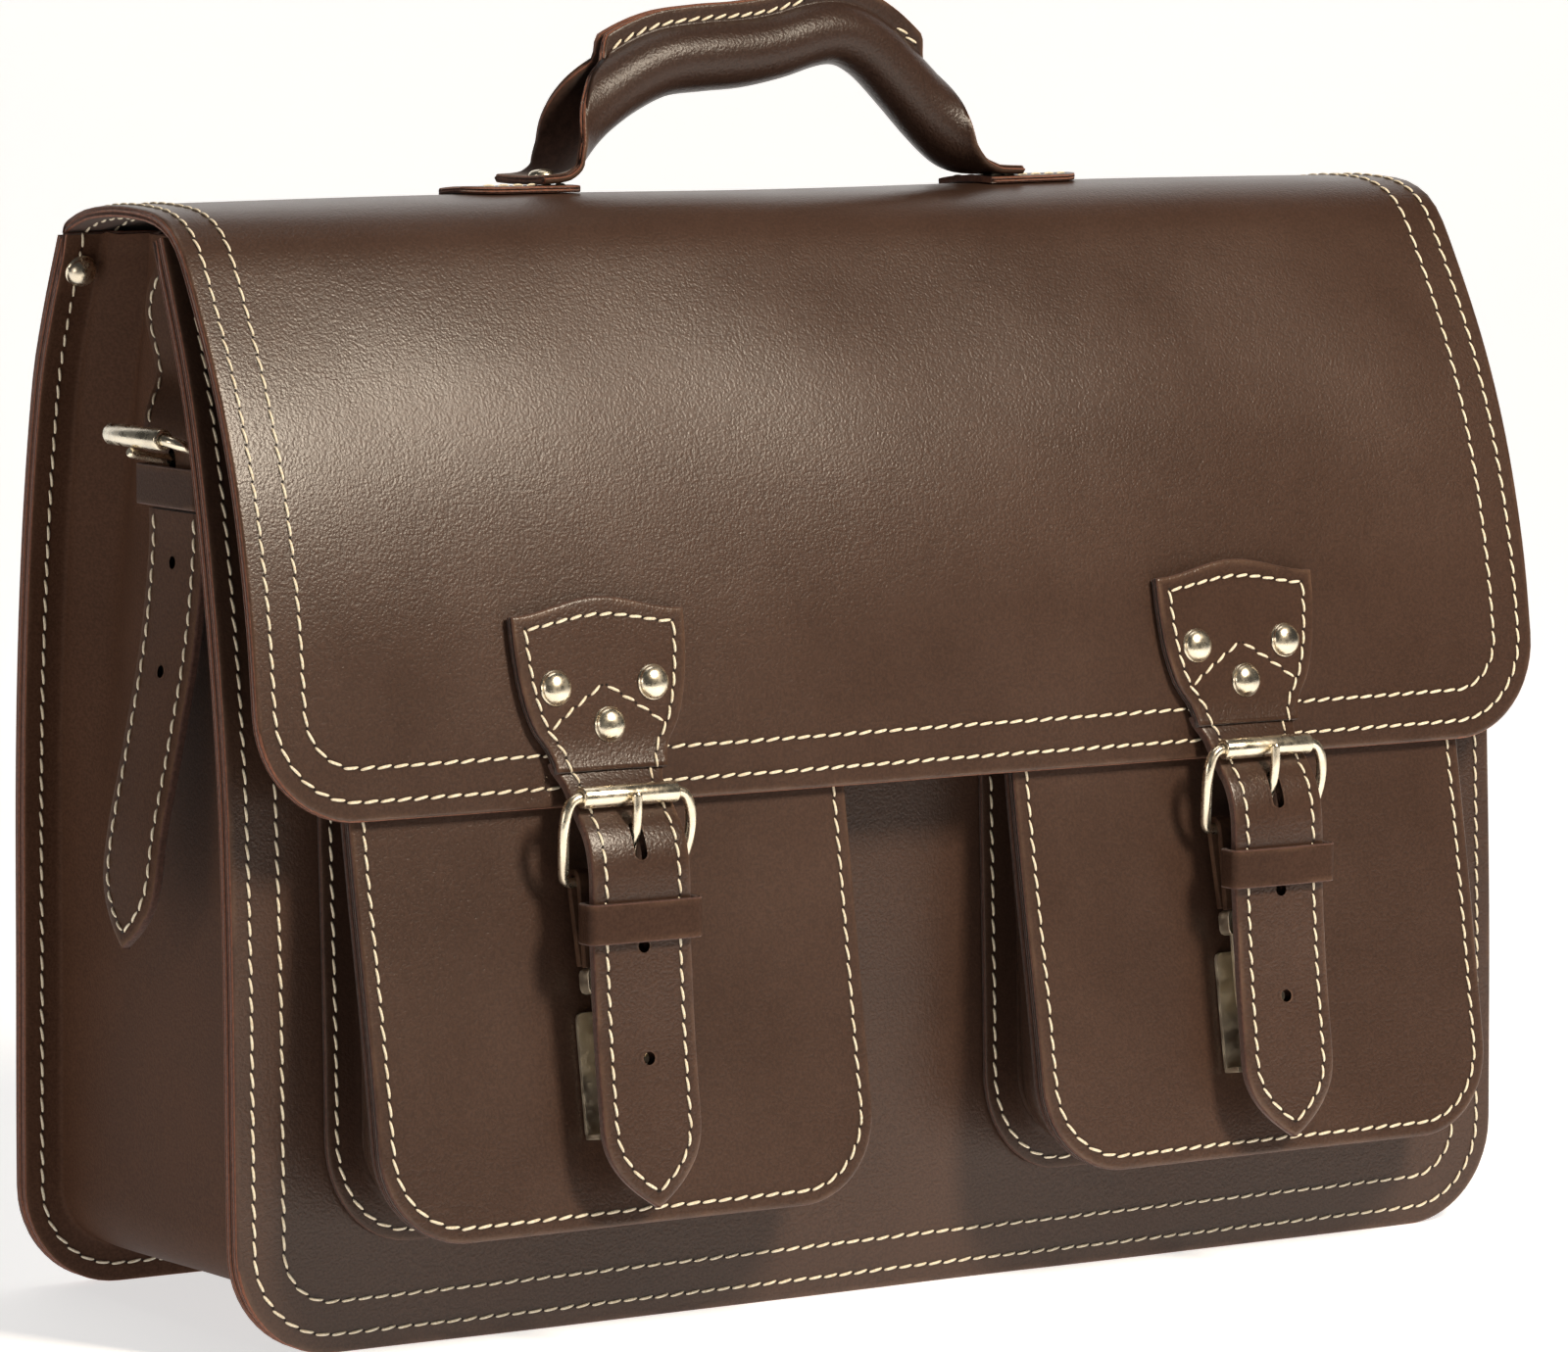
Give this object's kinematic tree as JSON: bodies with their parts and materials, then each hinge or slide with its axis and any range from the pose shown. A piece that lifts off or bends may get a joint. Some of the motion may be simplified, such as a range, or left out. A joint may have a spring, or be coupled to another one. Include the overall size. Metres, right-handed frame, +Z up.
{
  "type": "satchel bag",
  "caption": "Leather satchel bag: wedge-shaped body under an arched flap with a rolled handle, front pockets behind buckled closing straps with hidden catches, and a buckled strap on each side.",
  "frame": {"origin": "centre of the bag's footprint, on the floor it stands on", "axes": "+X across the bag to the right as seen from its front, +Y from front to back, +Z up"},
  "size_m": [0.4172, 0.1689, 0.3433],
  "materials": {
    "saddle_leather": "dark brown vegetable-tanned leather, waxed satin, raw reddish edges, cream saddle stitching",
    "gusset_leather": "dark brown softer leather, satin",
    "strap_leather": "dark brown strap leather, waxed satin, cream stitching near the edges",
    "nickel": "polished warm nickel plate",
    "spring_steel": "bright rolled spring steel",
    "core_cord": "matte filler cord, out of sight"
  },
  "bodies": {
    "bag": {"front_panel": "saddle_leather", "back_panel": "saddle_leather", "main_gusset": "gusset_leather", "pocket_panel_left": "saddle_leather", "pocket_gusset_left": "gusset_leather", "catch_tray_left": "nickel", "gusset_stud_left": "nickel", "side_strap_left": "strap_leather", "side_buckle_frame_left": "nickel", "side_keeper_left": "strap_leather", "side_chape_left": "strap_leather", "pocket_panel_right": "saddle_leather", "pocket_gusset_right": "gusset_leather", "catch_tray_right": "nickel", "gusset_stud_right": "nickel", "side_strap_right": "strap_leather", "side_buckle_frame_right": "nickel", "side_keeper_right": "strap_leather", "side_chape_right": "strap_leather"},
    "flap": {"flap": "saddle_leather", "strap_tab_left": "strap_leather", "tab_rivet_left_1": "nickel", "tab_rivet_left_2": "nickel", "tab_rivet_left_3": "nickel", "handle_tab_left": "strap_leather", "handle_rivet_left": "nickel", "strap_tab_right": "strap_leather", "tab_rivet_right_1": "nickel", "tab_rivet_right_2": "nickel", "tab_rivet_right_3": "nickel", "handle_tab_right": "strap_leather", "handle_rivet_right": "nickel"},
    "handle": {"handle_cover": "saddle_leather", "handle_core": "core_cord"},
    "closing_strap_left": {"strap_left": "strap_leather", "buckle_frame_left": "nickel", "chape_left": "strap_leather", "clasp_tongue_left": "nickel"},
    "strap_roller_left": {"buckle_roller_left": "nickel"},
    "strap_prong_left": {"buckle_prong_left": "nickel"},
    "strap_keeper_left": {"keeper_left": "strap_leather"},
    "catch_spring_left": {"catch_lever_left": "spring_steel"},
    "side_roller_left": {"side_buckle_roller_left": "nickel"},
    "side_prong_left": {"side_buckle_prong_left": "nickel"},
    "side_tail_left": {"side_tail_left": "strap_leather"},
    "closing_strap_right": {"strap_right": "strap_leather", "buckle_frame_right": "nickel", "chape_right": "strap_leather", "clasp_tongue_right": "nickel"},
    "strap_roller_right": {"buckle_roller_right": "nickel"},
    "strap_prong_right": {"buckle_prong_right": "nickel"},
    "strap_keeper_right": {"keeper_right": "strap_leather"},
    "catch_spring_right": {"catch_lever_right": "spring_steel"},
    "side_roller_right": {"side_buckle_roller_right": "nickel"},
    "side_prong_right": {"side_buckle_prong_right": "nickel"},
    "side_tail_right": {"side_tail_right": "strap_leather"}
  },
  "joints": [
    {"name": "flap_hinge", "type": "hinge", "parent": "bag", "child": "flap", "pos_m": [0, 0.05405, 0.2827], "axis": [-1, 0, 0], "range_deg": [0, 145]},
    {"name": "handle_tilt", "type": "hinge", "parent": "flap", "child": "handle", "pos_m": [0, 0.02735, 0.2938], "axis": [1, 0, 0], "range_deg": [-8, 8], "stiffness_Nm_per_rad": 0.3},
    {"name": "strap_swing_left", "type": "hinge", "parent": "flap", "child": "closing_strap_left", "pos_m": [-0.102, -0.0601, 0.14864], "axis": [-1, 0, 0], "range_deg": [0, 90]},
    {"name": "roller_spin_left", "type": "hinge", "parent": "closing_strap_left", "child": "strap_roller_left", "pos_m": [-0.102, -0.06885, 0.142], "axis": [1, 0, 0], "continuous": true},
    {"name": "prong_pivot_left", "type": "hinge", "parent": "closing_strap_left", "child": "strap_prong_left", "pos_m": [-0.102, -0.06445, 0.12], "axis": [1, 0, 0], "range_deg": [0, 8]},
    {"name": "keeper_slide_left", "type": "slide", "parent": "closing_strap_left", "child": "strap_keeper_left", "axis": [0, -0.045, -0.999], "range_m": [0, 0.008]},
    {"name": "catch_lever_left", "type": "hinge", "parent": "bag", "child": "catch_spring_left", "pos_m": [-0.102, -0.07177, 0.05678], "axis": [-1, 0, 0], "range_deg": [0, 3.3], "stiffness_Nm_per_rad": 0.5},
    {"name": "side_roller_spin_left", "type": "hinge", "parent": "bag", "child": "side_roller_left", "pos_m": [-0.2026, 0.00585, 0.2327], "axis": [0, 1, 0], "continuous": true},
    {"name": "side_prong_pivot_left", "type": "hinge", "parent": "bag", "child": "side_prong_left", "pos_m": [-0.186, 0.00585, 0.2302], "axis": [0, -1, 0], "range_deg": [0, 6.5]},
    {"name": "side_tail_swing_left", "type": "hinge", "parent": "bag", "child": "side_tail_left", "pos_m": [-0.1928, 0.00585, 0.2136], "axis": [0, 1, 0], "range_deg": [0, 70]},
    {"name": "strap_swing_right", "type": "hinge", "parent": "flap", "child": "closing_strap_right", "pos_m": [0.099, -0.0601, 0.14864], "axis": [-1, 0, 0], "range_deg": [0, 90]},
    {"name": "roller_spin_right", "type": "hinge", "parent": "closing_strap_right", "child": "strap_roller_right", "pos_m": [0.099, -0.06885, 0.142], "axis": [1, 0, 0], "continuous": true},
    {"name": "prong_pivot_right", "type": "hinge", "parent": "closing_strap_right", "child": "strap_prong_right", "pos_m": [0.099, -0.06445, 0.12], "axis": [1, 0, 0], "range_deg": [0, 8]},
    {"name": "keeper_slide_right", "type": "slide", "parent": "closing_strap_right", "child": "strap_keeper_right", "axis": [0, -0.045, -0.999], "range_m": [0, 0.008]},
    {"name": "catch_lever_right", "type": "hinge", "parent": "bag", "child": "catch_spring_right", "pos_m": [0.099, -0.07177, 0.05678], "axis": [-1, 0, 0], "range_deg": [0, 3.3], "stiffness_Nm_per_rad": 0.5},
    {"name": "side_roller_spin_right", "type": "hinge", "parent": "bag", "child": "side_roller_right", "pos_m": [0.2026, 0.00585, 0.2327], "axis": [0, 1, 0], "continuous": true},
    {"name": "side_prong_pivot_right", "type": "hinge", "parent": "bag", "child": "side_prong_right", "pos_m": [0.186, 0.00585, 0.2302], "axis": [0, 1, 0], "range_deg": [0, 6.5]},
    {"name": "side_tail_swing_right", "type": "hinge", "parent": "bag", "child": "side_tail_right", "pos_m": [0.1928, 0.00585, 0.2136], "axis": [0, -1, 0], "range_deg": [0, 70]}
  ]
}
